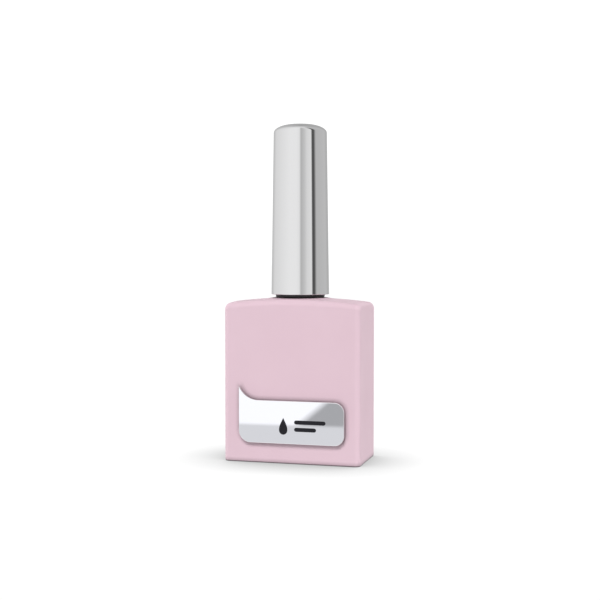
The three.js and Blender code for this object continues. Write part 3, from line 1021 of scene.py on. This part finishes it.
# what a mirror sees around the studio: (degrees right of the camera, brightness)
STUDIO_BANDS = [
    (-180, 0.45),
    (-142, 0.68),
    (-126, 0.83),
    (-46, 0.99),
    (-16, 0.99),
    (-4, 0.93),
    (3, 0.55),
    (18, 0.68),
    (28, 0.82),
    (47, 0.89),
    (51, 0.1),
    (60, 0.1),
    (70, 0.57),
    (126, 0.61),
    (142, 0.52),
    (180, 0.45),
]

# straight overhead the bands give way to one tone: share = gain * |z| + offset
OVERHEAD_BRIGHTNESS = 0.86
OVERHEAD_GAIN = 14.0
OVERHEAD_OFFSET = -13.0
BACKDROP_STRENGTH = 1.1
LIGHT_FROM_ABOVE = 0.3
LIGHT_FROM_BELOW = 0.86

# soft suns: name, azimuth, elevation, apparent size in degrees, strength
SUNS = [
    ("key", -8, 50, 24, 2.08),
    ("right", 96, 6, 50, 1.5),
    ("left", -100, 6, 50, 1.0),
    ("back", 180, 8, 50, 1.2),
]

FLOOR_RADIUS = 12000
FLOOR_SIDES = 96
FLOOR_GLOW = 1.03
# reach and fall of the shadow painted round the bottle's foot
CONTACT_SHADOW_REACH = 17
CONTACT_SHADOW_FALL = 0.8

# the card that the plate mirrors: left, right, far and near edges, then its tones
CARD_EDGES = (-90, 40, -195, -12)
CARD_HEIGHT = 0.5
CARD_FADE = 22
CARD_TINT = (0.99, 1.0, 1.045, 1)
CARD_NEAR = 0.715
CARD_WEDGE = 0.41
CARD_FAR = 1.06

# the lines between the tones: slope, offset, softness before and after the line
WEDGE_LINE = (0.0965, -7.94, 1.9, 1.7)
NEAR_LINE = (-0.058, -70.1, 3.0, 3.0)


class World(Nodes):
    """The studio's world and the nodes that feed it."""

    def __init__(self):
        world = bpy.data.worlds.new("studio")
        bpy.context.scene.world = world
        super().__init__(world)
        self.nodes.clear()

    def background(self, colour, strength):
        return self.node("ShaderNodeBackground", {0: colour, 1: strength}).outputs[0]

    def mix(self, share, first, second):
        return self.node("ShaderNodeMixShader", {0: share, 1: first, 2: second}).outputs[0]


def studio_world():
    """Soft light from all round for the surfaces, and a ring of cards for whatever mirrors it."""
    sky = World()
    generated = sky.node("ShaderNodeTexCoord").outputs["Generated"]
    x, y, z = sky.node("ShaderNodeSeparateXYZ", {0: generated}).outputs[:]
    azimuth = sky.math("ARCTAN2", x, sky.math("MULTIPLY", y, -1.0))
    from_camera = sky.math("SUBTRACT", azimuth, math.radians(CAMERA_AZIMUTH))
    turn = sky.math("FRACT", sky.math("ADD", sky.math("DIVIDE", from_camera, FULL_TURN), 1.5))
    ramp = sky.node("ShaderNodeValToRGB", {0: turn})
    elements = ramp.color_ramp.elements
    elements[0].position, elements[1].position = 0.0, 1.0
    elements[0].color, elements[1].color = grey(STUDIO_BANDS[0][1]), grey(STUDIO_BANDS[-1][1])
    for degrees, brightness in STUDIO_BANDS[1:-1]:
        elements.new(degrees / 360 + 0.5).color = grey(brightness)
    below = sky.background(grey(1), LIGHT_FROM_BELOW)
    above = sky.background(grey(1), LIGHT_FROM_ABOVE)
    light = sky.mix(sky.math("GREATER_THAN", z, 0.0), below, above)
    path = sky.node("ShaderNodeLightPath").outputs
    seen = sky.mix(path["Is Camera Ray"], light, sky.background(grey(1), BACKDROP_STRENGTH))
    bands = sky.background(ramp.outputs[0], 1.0)
    steepness = sky.math("MULTIPLY_ADD", sky.math("ABSOLUTE", z), OVERHEAD_GAIN, OVERHEAD_OFFSET)
    overhead = sky.math("MINIMUM", sky.math("MAXIMUM", steepness, 0.0), 1.0)
    around = sky.mix(overhead, bands, sky.background(grey(OVERHEAD_BRIGHTNESS), 1.0))
    mirrored = sky.mix(path["Is Glossy Ray"], seen, around)
    sky.node("ShaderNodeOutputWorld", {0: mirrored})


def floor():
    """A pale glowing floor with a soft shadow painted into its glow where the bottle stands on it."""
    angles = [FULL_TURN * i / FLOOR_SIDES for i in range(FLOOR_SIDES)]
    outline = [(FLOOR_RADIUS * math.cos(a), FLOOR_RADIUS * math.sin(a), 0) for a in angles]
    paper = new_mesh("floor", outline, [tuple(range(FLOOR_SIDES))])
    paper.visible_glossy = False
    paper.visible_diffuse = False
    shader = Shader("floor_paper", base_color=grey(0), roughness=0.8, specular_ior_level=0.0)
    # painted shadow: the floor's glow is dimmed around the bottle's foot
    unshaded_share = shader.painted_shade(CONTACT_SHADOW_REACH, CONTACT_SHADOW_FALL)
    tone = shader.ramp(shader.noise(40, 3), 0.3, 0.7, FLOOR_GLOW, FLOOR_GLOW + 0.01)
    shader.feed("Emission Strength", shader.math("MULTIPLY", unshaded_share, tone))
    shader.surface.inputs["Emission Color"].default_value = grey(1)
    paper.data.materials.append(shader.material)


def mirror_card():
    """A card just above the floor in front of the bottle, which only mirrors see: three grey tones."""
    left, right, far, near = CARD_EDGES
    corners = [(left, far), (right, far), (right, near), (left, near)]
    card = new_mesh("mirror_card", [(x, y, CARD_HEIGHT) for x, y in corners], [(0, 1, 2, 3)])
    card.visible_camera = False
    card.visible_diffuse = False
    card.visible_shadow = False
    card.visible_transmission = False
    shader = Shader("mirror_card", base_color=grey(0), specular_ior_level=0.0, emission_color=CARD_TINT)
    x, y, _ = shader.node("ShaderNodeSeparateXYZ", {0: shader.place}).outputs[:]
    slope, offset, soft_left, soft_right = WEDGE_LINE
    line = shader.math("ADD", shader.math("MULTIPLY", y, slope), offset * MM)
    past_line = shader.math("SUBTRACT", x, line)
    wedge = shader.ramp(past_line, -soft_left * MM, soft_right * MM, CARD_FAR, CARD_WEDGE)
    slope, offset, soft_far, soft_near = NEAR_LINE
    line = shader.math("ADD", shader.math("MULTIPLY", x, slope), offset * MM)
    near_share = shader.ramp(shader.math("SUBTRACT", y, line), -soft_far * MM, soft_near * MM)
    step = shader.math("MULTIPLY", shader.math("SUBTRACT", CARD_NEAR, wedge), near_share)
    shader.feed("Emission Strength", shader.math("ADD", wedge, step))
    from_left, to_right = shader.math("SUBTRACT", x, left * MM), shader.math("SUBTRACT", right * MM, x)
    from_far, to_near = shader.math("SUBTRACT", y, far * MM), shader.math("SUBTRACT", near * MM, y)
    inside_x = shader.math("MINIMUM", from_left, to_right)
    inside_y = shader.math("MINIMUM", from_far, to_near)
    shader.feed("Alpha", shader.ramp(shader.math("MINIMUM", inside_x, inside_y), 0.0, CARD_FADE * MM))
    card.data.materials.append(shader.material)


def sun(name, azimuth, elevation, size, strength):
    light = bpy.data.lights.new(name, "SUN")
    light.energy = strength
    light.angle = math.radians(size)
    obj = bpy.data.objects.new(name, light)
    bpy.context.scene.collection.objects.link(obj)
    turn, rise = math.radians(azimuth), math.radians(elevation)
    towards = Vector((math.sin(turn) * math.cos(rise), -math.cos(turn) * math.cos(rise), math.sin(rise)))
    obj.rotation_euler = (-towards).to_track_quat("-Z", "Y").to_euler()
    obj.visible_glossy = False


def camera():
    data = bpy.data.cameras.new("camera")
    data.lens = CAMERA_LENS
    data.sensor_width = CAMERA_SENSOR
    data.clip_start = 0.01
    obj = bpy.data.objects.new("camera", data)
    bpy.context.scene.collection.objects.link(obj)
    turn = math.radians(CAMERA_AZIMUTH)
    place_mm = Vector((CAMERA_DISTANCE * math.sin(turn), -CAMERA_DISTANCE * math.cos(turn), CAMERA_HEIGHT))
    target = Vector((CAMERA_TARGET_SIDE, 0, CAMERA_TARGET_HEIGHT))
    obj.location = place_mm * MM
    obj.rotation_euler = (target - place_mm).to_track_quat("-Z", "Y").to_euler()
    bpy.context.scene.camera = obj


studio_world()
floor()
mirror_card()
for settings in SUNS:
    sun(*settings)
camera()
bpy.context.scene.view_settings.view_transform = "Standard"
